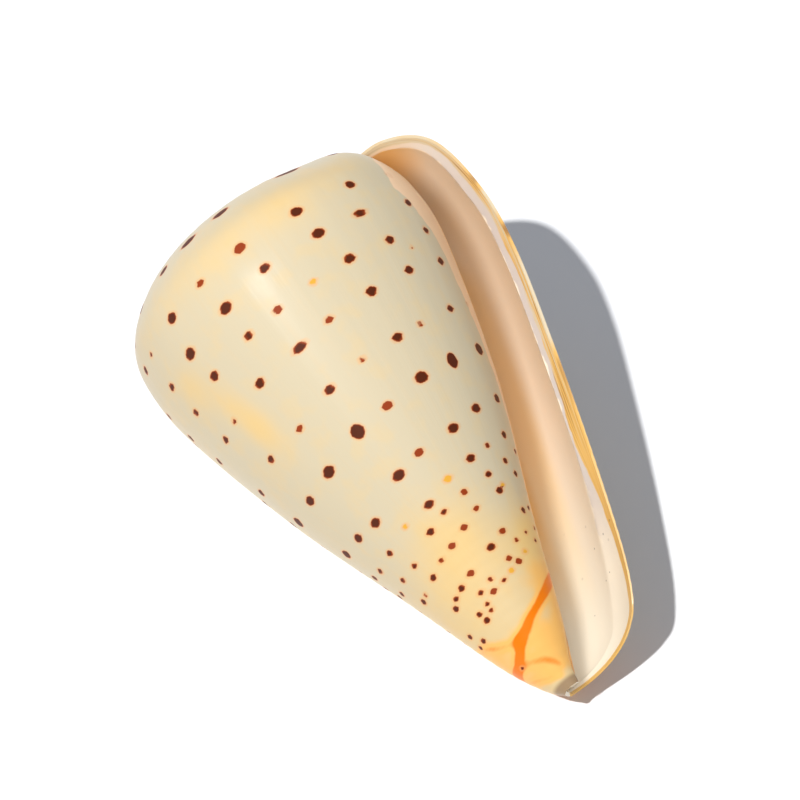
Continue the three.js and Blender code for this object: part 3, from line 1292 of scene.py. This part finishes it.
@dataclass(frozen=True)
class SkinFinish:
    """The glossy outer skin: cream ground with yellow clouds, dark spots and an orange narrow end.

    Attributes:
        cream: The ground.
        cloud: Its yellow clouds.
        orange: The stripes at the narrow end.
        amber: The washes around them.
        tip: The dark brown tip of the narrow end.
        glaze: The glaze beside the opening.
        lip_brown: The growth lines along the lip.
        spot_heart: The middle of a dark spot.
        spot_edge: Its edge.
        spot_rust: A rust spot.
        spot_amber: An amber spot.
        halo: The ground around a spot.
        cloud_waves: How far noise moves the clouds' edges, in strength.
        cloud_span: Strengths between which the ground turns yellow.
        mottle_span: Noise levels between which it is mottled.
        mottling: How much yellow that adds.
        streak_span: Noise levels between which a growth line shows.
        streaks: How much amber that adds.
        band_waves: How far noise moves the edges of the washes and stripes, in strength.
        amber_span: Strengths between which the ground turns amber.
        orange_span: Strengths between which that turns orange.
        tip_shares: Shares of the outline between which the tip starts.
        lip_turns: Degrees between which the lip's lines start.
        lip_lines: Noise levels between which such a line shows.
        ragged: How far noise moves a spot's edge, in mm.
        halo_reach: How far the halo reaches, in mm.
        halo_strength: How strong it is at the spot's edge.
        spot_span: Depths between which the ground turns into the spot, in mm.
        heart_depth: Depth at which its edge has turned into its heart, in mm.
        rust_tones: Tones between which brown turns into rust.
        amber_tones: Tones between which rust turns into amber.
        glaze_waves: How far noise moves the glaze's edge, in degrees.
        glaze_span: Degrees between which the glaze starts.
        glaze_strength: How much of the ground it covers.
        gloss: Level of the skin's reflection.
        roughness: Its roughness.
        spot_roughness: The roughness of a spot.
        rough_waves: How much noise adds to either.
        line_relief: Strength of the growth lines' relief.
        line_depth: Their depth, in metres.
        line_fade: Shares of the outline between which they come in from the narrow end.
        marks: The growth marks.
    """

    cream: Colour = (0.59, 0.502, 0.338)
    cloud: Colour = (0.74, 0.505, 0.20)
    orange: Colour = (0.79, 0.18, 0.001)
    amber: Colour = (0.85, 0.46, 0.12)
    tip: Colour = (0.33, 0.22, 0.12)
    glaze: Colour = (0.90, 0.60, 0.36)
    lip_brown: Colour = (0.42, 0.17, 0.04)
    spot_heart: Colour = (0.085, 0.014, 0.002)
    spot_edge: Colour = (0.36, 0.050, 0.005)
    spot_rust: Colour = (0.27, 0.036, 0.004)
    spot_amber: Colour = (0.72, 0.36, 0.04)
    halo: Colour = (0.76, 0.36, 0.12)
    cloud_waves: float = 0.7
    cloud_span: Span = (0.05, 1.0)
    mottle_span: Span = (0.45, 0.72)
    mottling: float = 0.22
    streak_span: Span = (0.45, 0.75)
    streaks: float = 0.05
    band_waves: float = 0.4
    amber_span: Span = (0.12, 0.6)
    orange_span: Span = (0.75, 1.22)
    tip_shares: Span = (0.93, 0.96)
    lip_turns: Span = (-6.0, -0.5)
    lip_lines: Span = (0.42, 0.6)
    ragged: float = 0.36
    halo_reach: float = 0.5
    halo_strength: float = 0.5
    spot_span: Span = (-0.06, 0.10)
    heart_depth: float = 0.28
    rust_tones: Span = (0.1, 0.4)
    amber_tones: Span = (0.6, 0.9)
    glaze_waves: float = 5.0
    glaze_span: Span = (-0.4, 0.8)
    glaze_strength: float = 0.92
    gloss: float = 0.2
    roughness: float = 0.28
    spot_roughness: float = 0.5
    rough_waves: float = 0.1
    line_relief: float = 0.08
    line_depth: float = 0.0004
    line_fade: Span = (0.8, 0.6)
    marks: GrowthMarks = GrowthMarks()

    def ground(self, build: Shading, given: dict[str, bpy.types.NodeSocket]) -> bpy.types.NodeSocket:
        """Colours the skin under its spots.

        Args:
            build: The material's nodes.
            given: The growth marks' outputs.

        Returns:
            The colour's socket.
        """
        uneven = build.spread(given["Clouds"], self.cloud_waves)
        warmth = build.ease(build.number("ADD", build.attribute("warmth"), uneven), *self.cloud_span)
        colour = build.blend(warmth, self.cream, self.cloud)
        mottled = build.ease(given["Mottle"], *self.mottle_span, 0.0, self.mottling)
        colour = build.blend(mottled, colour, self.cloud)
        streak = build.ease(given["Lines"], *self.streak_span, 0.0, self.streaks)
        colour = build.blend(streak, colour, self.amber)
        banded = build.spread(given["Mottle"], self.band_waves)
        band = build.number("ADD", build.attribute("band"), banded)
        colour = build.blend(build.ease(band, *self.amber_span), colour, self.amber)
        colour = build.blend(build.ease(band, *self.orange_span), colour, self.orange)
        colour = build.blend(build.ease(given["Share"], *self.tip_shares), colour, self.tip)
        near_lip = build.ease(given["Degrees"], *self.lip_turns)
        lined = build.ease(given["Lines"], *self.lip_lines)
        return build.blend(build.number("MULTIPLY", near_lip, lined), colour, self.lip_brown)

    def spotted(
        self, build: Shading, spot: bpy.types.NodeSocket, ground: bpy.types.NodeSocket
    ) -> bpy.types.NodeSocket:
        """Colours the spots and their halos.

        Args:
            build: The material's nodes.
            spot: The depth inside a spot.
            ground: The colour under the spots.

        Returns:
            The colour's socket.
        """
        tone = build.attribute("tone")
        around = build.ease(spot, -self.halo_reach, 0.0, 0.0, self.halo_strength)
        colour = build.blend(around, ground, self.halo)
        inner = build.blend(build.ease(spot, 0.0, self.heart_depth), self.spot_edge, self.spot_heart)
        inner = build.blend(build.ease(tone, *self.rust_tones), inner, self.spot_rust)
        inner = build.blend(build.ease(tone, *self.amber_tones), inner, self.spot_amber)
        return build.blend(build.ease(spot, *self.spot_span), colour, inner)

    def material(self) -> bpy.types.Material:
        """Builds the material.

        Returns:
            The material.
        """
        made = bpy.data.materials.new("shell_skin")
        made.use_nodes = True
        build = Shading(made.node_tree)
        shader = made.node_tree.nodes["Principled BSDF"]
        shader.inputs["Specular IOR Level"].default_value = self.gloss
        given = self.marks.use(build)
        spot = build.number("ADD", build.attribute("spot"), build.spread(given["Grain"], self.ragged))
        colour = self.spotted(build, spot, self.ground(build, given))
        wavy = build.spread(given["Mottle"], self.glaze_waves)
        glaze = build.number("ADD", build.attribute("glaze"), wavy)
        glazed = build.ease(glaze, *self.glaze_span, 0.0, self.glaze_strength)
        build.put(shader.inputs["Base Color"], build.blend(glazed, colour, self.glaze))
        dark = build.ease(spot, *self.spot_span, self.roughness, self.spot_roughness)
        uneven = build.number("MULTIPLY", given["Grain"], self.rough_waves)
        build.put(shader.inputs["Roughness"], build.number("ADD", dark, uneven))
        bump = build.add("ShaderNodeBump")
        bump.inputs["Strength"].default_value = self.line_relief
        bump.inputs["Distance"].default_value = self.line_depth
        fading = build.ease(given["Share"], *self.line_fade)
        build.put(bump.inputs["Height"], build.number("MULTIPLY", given["Lines"], fading))
        build.put(shader.inputs["Normal"], bump.outputs["Normal"])
        return made


@dataclass(frozen=True)
class LiningFinish:
    """The smooth inside of the shell: tan deep in the opening, partly the lining's own tint and partly
    painted shade of the body's shadow, peach outwards, white along the lip.

    Attributes:
        shaded_deep: Deep in the opening, the lining's tan darkened with painted shade where the body shadows
            the inner lip.
        middle: Halfway out of it.
        pale: Near the lip.
        narrow: All along the narrow end.
        corner: The corner at the spire's end.
        bevel: The white band along the lip.
        edge_cream: Pale rings on the lip's edge.
        edge_yellow: Its yellow rings.
        edge_brown: Its brown rings.
        speck: Specks of dirt.
        shadow_edge_turns: Degrees between which shaded_deep turns into middle, the crisp edge of that painted
            shadow.
        pale_turns: Degrees between which middle turns into pale.
        pale_shift: Degrees by which that lies deeper near the spire's end.
        shift_shares: Shares of the outline between which it gets there.
        narrow_shares: Shares between which the narrow end starts.
        corner_shares: Shares between which the corner starts.
        corner_turns: Degrees between which it starts.
        waves: How far noise moves the edges of the band and the rings.
        band_span: Parts of the bevel's length between which the white band starts.
        band_end: Shares between which it comes in from the narrow end.
        band_start: Shares between which it reaches its full strength.
        band_least: Its strength at the spire's end.
        yellow_rings: Noise levels between which cream turns into yellow on the edge.
        brown_rings: Noise levels between which that turns into brown.
        cream_shares: Shares between which the edge turns cream towards the spire's end.
        cream_strength: How far it does.
        yellow_shares: Shares between which it turns yellow towards the narrow end.
        yellow_strength: How far it does.
        edge_span: Distances from the lip between which the coloured edge ends, in mm.
        top_reach: How much further it reaches at the spire's end, in mm.
        top_shares: Shares between which that ends.
        low_reach: How much further it reaches at the narrow end, in mm.
        low_shares: Shares between which that starts.
        edge_waves: How much of the noise its width follows.
        specks_per_metre: How close the specks may lie.
        speck_levels: Levels of chance between which one is there.
        speck_size: Its edge and its core, as parts of the distance between two.
        speck_shares: Shares between which the specks start.
        speck_turns: Degrees between which they start.
        roughness: The lining's roughness.
        marks: The growth marks.
    """

    # Painted shade: the body's shadow on the inner lip darkens this deep orange tan.
    shaded_deep: Colour = (0.99, 0.61, 0.19)
    middle: Colour = (0.98, 0.78, 0.48)
    pale: Colour = (0.97, 0.86, 0.69)
    narrow: Colour = (0.83, 0.74, 0.59)
    corner: Colour = (0.96, 0.60, 0.24)
    bevel: Colour = (0.61, 0.54, 0.49)
    edge_cream: Colour = (0.64, 0.53, 0.35)
    edge_yellow: Colour = (0.72, 0.42, 0.11)
    edge_brown: Colour = (0.30, 0.13, 0.03)
    speck: Colour = (0.06, 0.035, 0.02)
    shadow_edge_turns: Span = (-58.0, -49.0)
    pale_turns: Span = (-40.0, -29.0)
    pale_shift: float = 12.0
    shift_shares: Span = (0.5, 0.3)
    narrow_shares: Span = (0.62, 0.82)
    corner_shares: Span = (0.32, 0.2)
    corner_turns: Span = (-75.0, -50.0)
    waves: float = 0.9
    band_span: Span = (1.1, 0.95)
    band_end: Span = (0.78, 0.7)
    band_start: Span = (0.2, 0.45)
    band_least: float = 0.55
    yellow_rings: Span = (0.42, 0.54)
    brown_rings: Span = (0.54, 0.64)
    cream_shares: Span = (0.42, 0.26)
    cream_strength: float = 0.75
    yellow_shares: Span = (0.6, 0.7)
    yellow_strength: float = 0.85
    edge_span: Span = (1.05, 0.85)
    top_reach: float = -0.35
    top_shares: Span = (0.25, 0.5)
    low_reach: float = 0.35
    low_shares: Span = (0.57, 0.7)
    edge_waves: float = 0.6
    specks_per_metre: float = 420.0
    speck_levels: Span = (0.50, 0.55)
    speck_size: Span = (0.12, 0.07)
    speck_shares: Span = (0.70, 0.80)
    speck_turns: Span = (-50.0, -44.0)
    roughness: float = 0.28
    marks: GrowthMarks = GrowthMarks()

    def inside(self, build: Shading, given: dict[str, bpy.types.NodeSocket]) -> bpy.types.NodeSocket:
        """Colours the inside from deep in the opening out to the lip, with painted shade of the body's shadow
        deep in the opening.

        Args:
            build: The material's nodes.
            given: The growth marks' outputs.

        Returns:
            The colour's socket.
        """
        degrees, share = given["Degrees"], given["Share"]
        # Painted shade: the body's shadow on the inner lip, dark orange tan up to a crisp edge, then lighter
        # outwards.
        colour = build.blend(build.ease(degrees, *self.shadow_edge_turns), self.shaded_deep, self.middle)
        outwards = build.number("ADD", degrees, build.ease(share, *self.shift_shares, 0.0, self.pale_shift))
        colour = build.blend(build.ease(outwards, *self.pale_turns), colour, self.pale)
        colour = build.blend(build.ease(share, *self.narrow_shares), colour, self.narrow)
        in_corner = build.ease(share, *self.corner_shares)
        corner = build.number("MULTIPLY", in_corner, build.ease(degrees, *self.corner_turns))
        return build.blend(corner, colour, self.corner)

    def band(
        self, build: Shading, given: dict[str, bpy.types.NodeSocket], wavy: bpy.types.NodeSocket
    ) -> bpy.types.NodeSocket:
        """Finds the white band on the bevel along the lip.

        Args:
            build: The material's nodes.
            given: The growth marks' outputs.
            wavy: The noise that moves its edge.

        Returns:
            The band's strength.
        """
        rim = build.number("ADD", build.attribute("rim"), wavy)
        ending = build.ease(given["Share"], *self.band_end)
        starting = build.ease(given["Share"], *self.band_start, self.band_least, 1.0)
        along = build.number("MULTIPLY", ending, starting)
        return build.number("MULTIPLY", build.ease(rim, *self.band_span), along)

    def edge(
        self, build: Shading, given: dict[str, bpy.types.NodeSocket], wavy: bpy.types.NodeSocket
    ) -> bpy.types.NodeSocket:
        """Finds the coloured edge of the lip.

        Args:
            build: The material's nodes.
            given: The growth marks' outputs.
            wavy: The noise that its width follows.

        Returns:
            The edge's strength.
        """
        top = build.ease(given["Share"], *self.top_shares, self.top_reach, 0.0)
        low = build.ease(given["Share"], *self.low_shares, 0.0, self.low_reach)
        away = build.number("SUBTRACT", build.attribute("edge"), build.number("ADD", top, low))
        away = build.number("ADD", away, build.number("MULTIPLY", wavy, self.edge_waves))
        return build.ease(away, *self.edge_span)

    def rings(self, build: Shading, given: dict[str, bpy.types.NodeSocket]) -> bpy.types.NodeSocket:
        """Colours the lip's edge in fine rings.

        Args:
            build: The material's nodes.
            given: The growth marks' outputs.

        Returns:
            The colour's socket.
        """
        rings, share = given["Rings"], given["Share"]
        colour = build.blend(build.ease(rings, *self.yellow_rings), self.edge_cream, self.edge_yellow)
        colour = build.blend(build.ease(rings, *self.brown_rings), colour, self.edge_brown)
        creamy = build.ease(share, *self.cream_shares, 0.0, self.cream_strength)
        colour = build.blend(creamy, colour, self.edge_cream)
        yellowed = build.ease(share, *self.yellow_shares, 0.0, self.yellow_strength)
        return build.blend(yellowed, colour, self.edge_yellow)

    def specks(self, build: Shading, given: dict[str, bpy.types.NodeSocket]) -> bpy.types.NodeSocket:
        """Strews a few specks inside the narrow end.

        Args:
            build: The material's nodes.
            given: The growth marks' outputs.

        Returns:
            The specks' strength.
        """
        cells = build.add("ShaderNodeTexVoronoi")
        cells.inputs["Scale"].default_value = self.specks_per_metre
        build.put(cells.inputs["Vector"], given["Place"])
        chosen = build.ease(cells.outputs["Color"], *self.speck_levels)
        near = build.ease(cells.outputs["Distance"], *self.speck_size)
        along = build.ease(given["Share"], *self.speck_shares)
        within = build.number("MULTIPLY", along, build.ease(given["Degrees"], *self.speck_turns))
        return build.number("MULTIPLY", build.number("MULTIPLY", chosen, near), within)

    def material(self) -> bpy.types.Material:
        """Builds the material.

        Returns:
            The material.
        """
        made = bpy.data.materials.new("shell_lining")
        made.use_nodes = True
        build = Shading(made.node_tree)
        shader = made.node_tree.nodes["Principled BSDF"]
        shader.inputs["Roughness"].default_value = self.roughness
        given = self.marks.use(build)
        wavy = build.spread(given["Mottle"], self.waves)
        colour = build.blend(self.band(build, given, wavy), self.inside(build, given), self.bevel)
        colour = build.blend(self.edge(build, given, wavy), colour, self.rings(build, given))
        colour = build.blend(self.specks(build, given), colour, self.speck)
        build.put(shader.inputs["Base Color"], colour)
        return made


@dataclass
class ConeShell:
    """The whole shell: wound, laid at rest, measured for its spots and given its finishes.

    Attributes:
        winding: The wound surface.
        resting: The way it lies.
        pattern: Its spots.
        tints: Its clouds, stripes and glaze.
        skin: The outer finish.
        lining: The inner finish.
        weld: How near two corners are when they are made one, in mm.
        sliver: Length under which an edge is dissolved, in mm.
        sharp_angle: Degrees past which an edge stays sharp.
    """

    winding: Winding = field(default_factory=Winding)
    resting: Resting = field(default_factory=Resting)
    pattern: SpotPattern = field(default_factory=SpotPattern)
    tints: Tints = field(default_factory=Tints)
    skin: SkinFinish = field(default_factory=SkinFinish)
    lining: LiningFinish = field(default_factory=LiningFinish)
    weld: float = 0.02
    sliver: float = 1e-4
    sharp_angle: float = 38.0

    def build(self) -> bpy.types.Object:
        """Makes the piece.

        Returns:
            The shell's object, in metres and at rest.
        """
        wall = LastWhorl(self.winding).build()
        mesh = joined(wall, InnerTurns(self.winding).build())
        work = bmesh.new()
        work.from_mesh(mesh)
        bmesh.ops.remove_doubles(work, verts=work.verts[:], dist=self.weld)
        bmesh.ops.dissolve_degenerate(work, edges=work.edges[:], dist=self.sliver)
        self.resting.lay(work)
        for face in work.faces:
            face.smooth = True
        work.to_mesh(mesh)
        work.free()
        mesh.set_sharp_from_angle(angle=math.radians(self.sharp_angle))
        mesh.name = PIECE
        piece = bpy.data.objects.new(PIECE, mesh)
        bpy.context.scene.collection.objects.link(piece)
        sides = self.mark(mesh)
        mesh.materials.clear()
        mesh.materials.append(self.skin.material())
        mesh.materials.append(self.lining.material())
        mesh.polygons.foreach_set("material_index", sides)
        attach(piece, "root")
        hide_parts(NODE)
        log.info("%s: %d faces", PIECE, len(mesh.polygons))
        return piece

    def mark(self, mesh: bpy.types.Mesh) -> np.ndarray:
        """Writes the spots, tints and rim on the mesh's vertices.

        Args:
            mesh: The finished mesh, with its growth coordinates.

        Returns:
            Which side of the shell each face belongs to.
        """
        corners = np.zeros(len(mesh.loops), dtype=int)
        mesh.loops.foreach_get("vertex_index", corners)
        growth = np.zeros(2 * len(mesh.loops))
        mesh.uv_layers["growth"].data.foreach_get("uv", growth)
        sides = np.zeros(len(mesh.polygons), dtype=int)
        mesh.polygons.foreach_get("material_index", sides)
        totals = np.zeros(len(mesh.polygons), dtype=int)
        mesh.polygons.foreach_get("loop_total", totals)
        outer = np.repeat(sides, totals) == Side.SKIN.value
        turn = np.zeros(len(mesh.vertices))
        share = np.zeros(len(mesh.vertices))
        for side in (~outer, outer):
            turn[corners[side]] = growth[0::2][side] * 360.0
            share[corners[side]] = growth[1::2][side]
        whorl = LastWhorl(self.winding)
        rim = -turn / whorl.bevel(share)
        edge = np.radians(-turn) * self.winding.section(turn, share, np.zeros(len(turn)))[:, 1]
        turn = whorl.turned(turn, share)
        depth, tone = self.pattern.measure(self.winding, turn, share)
        # The pillar and the first cap have a share of 0 all over, and no spots.
        depth[share == 0.0] = self.pattern.far
        marks = {"spot": depth, "tone": tone, "rim": rim, "edge": edge}
        marks |= self.tints.measure(turn, share, self.winding)
        for name, values in marks.items():
            layer = mesh.attributes.new(name, "FLOAT", "POINT")
            layer.data.foreach_set("value", values.astype(np.float32))
        return sides


@dataclass(frozen=True)
class SoftLight:
    """A round soft light on the shell.

    Attributes:
        name: Its name.
        towards: The direction from the shell to it.
        size: Its width in metres.
        power: Its power in watts.
    """

    name: str
    towards: Direction
    size: float
    power: float


@dataclass(frozen=True)
class Studio:
    """The pale floor, the soft light and the camera at the photo's viewing angle.

    Attributes:
        resting: The way the shell lies.
        view_lean: Degrees that the narrow end leans towards the camera.
        view_turn: Degrees that the shell's axis points down from the picture's level.
        distance: How far the spire's point lies in front of the camera, in mm.
        spire_across: How far right of the picture's middle it is seen, in mm at that distance.
        spire_up: How far above the middle.
        pixels_per_mm: Scale of the picture at that distance.
        sensor: Width of the camera's sensor, in mm.
        spire: Where the spire's point lies in the frame, in mm.
        light_distance: Distance from the shell to every light, in metres.
        aim_height: Height above the floor of the place they stand around, in metres.
        sun_from: The direction from the shell to the floor's light.
        sun_strength: Its strength.
        sun_width: How wide it looks, in degrees.
        top: The light from above.
        side: The light from the side.
        front_size: Width of the light at the camera, in metres.
        front_power: Its power in watts.
        glint: The light that makes the bright spot on the body.
        room: Colour of the even light all around.
        room_strength: Its strength.
        floor_reach: How far the floor reaches each way, in metres.
        floor_white: Its colour.
        floor_roughness: Its roughness.
        floor_gloss: Level of its reflection.
    """

    resting: Resting
    view_lean: float = 19.8
    view_turn: float = 54.2
    distance: float = 650.0
    spire_across: float = -27.36
    spire_up: float = 30.9
    pixels_per_mm: float = 6.15
    sensor: float = 36.0
    spire: tuple[float, float, float] = (-47.75, -2.931, 34.962)
    light_distance: float = 0.6
    aim_height: float = 0.02
    sun_from: Direction = (0.200, -0.606, 0.770)
    sun_strength: float = 4.0
    sun_width: float = 1.4
    top: SoftLight = SoftLight("soft_top", (-0.41, -0.06, 0.91), 0.42, 1.75)
    side: SoftLight = SoftLight("soft_side", (0.248, -0.627, 0.738), 0.14, 1.8)
    front_size: float = 0.5
    front_power: float = 1.1
    glint: SoftLight = SoftLight("bright_spot", (0.11, -0.6, 0.793), 0.1, 1.7)
    room: Colour = (0.88, 0.93, 1.03)
    room_strength: float = 0.38
    floor_reach: float = 6.0
    floor_white: Colour = (0.86, 0.86, 0.87)
    floor_roughness: float = 0.9
    floor_gloss: float = 0.1

    def axes(self) -> Matrix:
        """Gives the camera's axes in the frame, worked out from how it sees the shell's own axes."""
        lean, turn = math.radians(self.view_lean), math.radians(self.view_turn)
        x_seen = (math.sin(turn), math.cos(turn), 0.0)
        y_seen = (-math.sin(lean) * math.cos(turn), math.sin(lean) * math.sin(turn), math.cos(lean))
        z_seen = (math.cos(lean) * math.cos(turn), -math.cos(lean) * math.sin(turn), math.sin(lean))
        return self.resting.turn() @ Matrix((x_seen, y_seen, z_seen))

    def camera(self) -> bpy.types.Object:
        """Places the camera.

        Returns:
            The camera.
        """
        axes = self.axes()
        spire_seen = Vector((self.spire_across, self.spire_up, -self.distance))
        eye = (Vector(self.spire) - axes @ spire_seen) * MM
        data = bpy.data.cameras.new("camera")
        data.sensor_width = self.sensor
        data.lens = self.pixels_per_mm * self.distance / PHOTO_PIXELS * self.sensor
        made = bpy.data.objects.new("camera", data)
        made.matrix_world = Matrix.Translation(eye) @ axes.to_4x4()
        bpy.context.scene.collection.objects.link(made)
        bpy.context.scene.camera = made
        return made

    def floor(self) -> bpy.types.Object:
        """Lays the floor.

        Returns:
            The floor.
        """
        mesh = bmesh.new()
        bmesh.ops.create_grid(mesh, x_segments=1, y_segments=1, size=self.floor_reach)
        made = finish_mesh(mesh, "floor")
        material = bpy.data.materials.new("floor_white")
        material.use_nodes = True
        shader = material.node_tree.nodes["Principled BSDF"]
        shader.inputs["Base Color"].default_value = (*self.floor_white, 1.0)
        shader.inputs["Roughness"].default_value = self.floor_roughness
        shader.inputs["Specular IOR Level"].default_value = self.floor_gloss
        made.data.materials.append(material)
        return made

    def lamp(self, name: str, kind: str, towards: Direction) -> bpy.types.Object:
        """Adds a light that shines from a direction.

        Args:
            name: The light's name.
            kind: SUN or AREA.
            towards: The direction from the shell to the light.

        Returns:
            The light.
        """
        made = bpy.data.objects.new(name, bpy.data.lights.new(name, kind))
        direction = Vector(towards).normalized()
        made.rotation_euler = direction.to_track_quat("Z", "Y").to_euler()
        made.location = direction * self.light_distance + Vector((0.0, 0.0, self.aim_height))
        bpy.context.scene.collection.objects.link(made)
        return made

    def disk(self, light: SoftLight) -> bpy.types.Object:
        """Adds a round soft light.

        Args:
            light: Its name, direction, size and power.

        Returns:
            The light.
        """
        made = self.lamp(light.name, "AREA", light.towards)
        made.data.shape = "DISK"
        made.data.size = light.size
        made.data.energy = light.power
        return made

    def lights(self, floor: bpy.types.Object, shell: bpy.types.Object) -> None:
        """Sets the lights: one for the floor and its shadow, soft ones for the shell, and an even room.

        Args:
            floor: The floor, the only thing that the first light shines on.
            shell: The shell, the only thing that the soft lights shine on.
        """
        sun = self.lamp("floor_light", "SUN", self.sun_from)
        sun.data.energy = self.sun_strength
        sun.data.angle = math.radians(self.sun_width)
        only = {name: bpy.data.collections.new(name) for name in ("floor_only", "shell_only")}
        only["floor_only"].objects.link(floor)
        only["shell_only"].objects.link(shell)
        sun.light_linking.receiver_collection = only["floor_only"]
        front = SoftLight("soft_front", tuple(self.axes().col[2]), self.front_size, self.front_power)
        for light in (self.top, self.side, front, self.glint):
            made = self.disk(light)
            made.visible_glossy = light is self.glint
            made.visible_diffuse = light is not self.glint
            made.light_linking.receiver_collection = only["shell_only"]
        world = bpy.data.worlds.new("soft_room")
        world.use_nodes = True
        background = world.node_tree.nodes["Background"]
        background.inputs["Color"].default_value = (*self.room, 1.0)
        background.inputs["Strength"].default_value = self.room_strength
        bpy.context.scene.world = world
        bpy.context.scene.view_settings.view_transform = "Standard"

    def build(self, shell: bpy.types.Object) -> None:
        """Sets the whole stage.

        Args:
            shell: The dressed shell.
        """
        self.lights(self.floor(), shell)
        self.camera()
        log.info("studio: floor, lights and camera")


def write_sizes() -> None:
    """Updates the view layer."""
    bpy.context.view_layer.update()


def main() -> None:
    """Builds the shell and its stage in order."""
    logging.basicConfig(level=logging.INFO, format="%(name)s: %(message)s")
    shell = ConeShell()
    Studio(shell.resting).build(shell.build())
    write_sizes()


if __name__ == "__main__":
    main()
